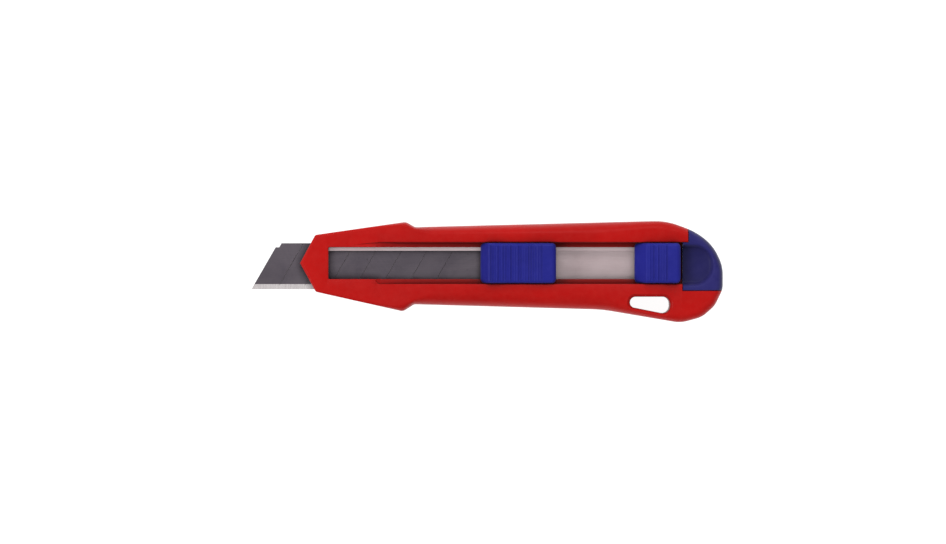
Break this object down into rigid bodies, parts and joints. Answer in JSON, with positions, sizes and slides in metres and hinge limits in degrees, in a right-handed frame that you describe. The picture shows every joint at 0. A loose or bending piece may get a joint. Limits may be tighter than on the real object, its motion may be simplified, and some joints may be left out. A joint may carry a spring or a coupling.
{
  "type": "snap-off utility knife",
  "caption": "Snap-off utility knife with a die-cast body, sliding blade and stabiliser bar, thumb buttons, tether eyelet and pull-off end cap.",
  "frame": {"origin": "centre of the bounding box in plan, at the level of the flat back the knife rests on", "axes": "+X along the knife from the blade tip to the end cap; +Y from the cutting edge side to the spine side; +Z out of the button side, away from the back"},
  "size_m": [0.184, 0.0393, 0.0187],
  "materials": {
    "housing_red": "satin",
    "button_blue": "satin",
    "cap_blue": "satin",
    "blade_steel": "satin",
    "bar_steel": "satin",
    "carrier_steel": "satin",
    "spring_steel": "satin",
    "fastener_steel": "satin"
  },
  "bodies": {
    "housing": {"front_shell": "housing_red", "back_shell": "housing_red", "shell_screw_1": "fastener_steel", "shell_screw_2": "fastener_steel", "shell_screw_3": "fastener_steel", "shell_screw_4": "fastener_steel", "shell_screw_5": "fastener_steel", "shell_screw_6": "fastener_steel", "detent_rail": "carrier_steel", "rail_screw_1": "fastener_steel", "rail_screw_2": "fastener_steel", "rail_screw_3": "fastener_steel"},
    "blade_slider": {"blade": "blade_steel", "blade_carrier": "carrier_steel", "blade_peg": "spring_steel", "blade_lock_spring": "spring_steel", "blade_spring_rivet": "fastener_steel"},
    "blade_thumb_button": {"blade_button": "button_blue"},
    "stabiliser": {"stabiliser_bar": "bar_steel", "bar_carrier": "carrier_steel", "bar_rivet_1": "fastener_steel", "bar_rivet_2": "fastener_steel", "bar_lock_spring": "spring_steel", "bar_spring_rivet": "fastener_steel"},
    "stabiliser_thumb_button": {"bar_button": "button_blue"},
    "tail_cap": {"end_cap": "cap_blue", "cap_clip": "spring_steel"}
  },
  "joints": [
    {"name": "blade_slide", "type": "slide", "parent": "housing", "child": "blade_slider", "axis": [-1, 0, 0], "range_m": [-0.028, 0.04], "deforming": ["blade_lock_spring"]},
    {"name": "blade_button_press", "type": "slide", "parent": "blade_slider", "child": "blade_thumb_button", "axis": [0, 0, -1], "range_m": [0, 0.0008], "stiffness_N_per_m": 6000},
    {"name": "stabiliser_slide", "type": "slide", "parent": "housing", "child": "stabiliser", "axis": [-1, 0, 0], "range_m": [0, 0.028], "deforming": ["bar_lock_spring"]},
    {"name": "bar_button_press", "type": "slide", "parent": "stabiliser", "child": "stabiliser_thumb_button", "axis": [0, 0, -1], "range_m": [0, 0.0008], "stiffness_N_per_m": 6000},
    {"name": "end_cap_pull", "type": "slide", "parent": "housing", "child": "tail_cap", "axis": [1, 0, 0], "range_m": [0, 0.022], "deforming": ["cap_clip"]}
  ]
}
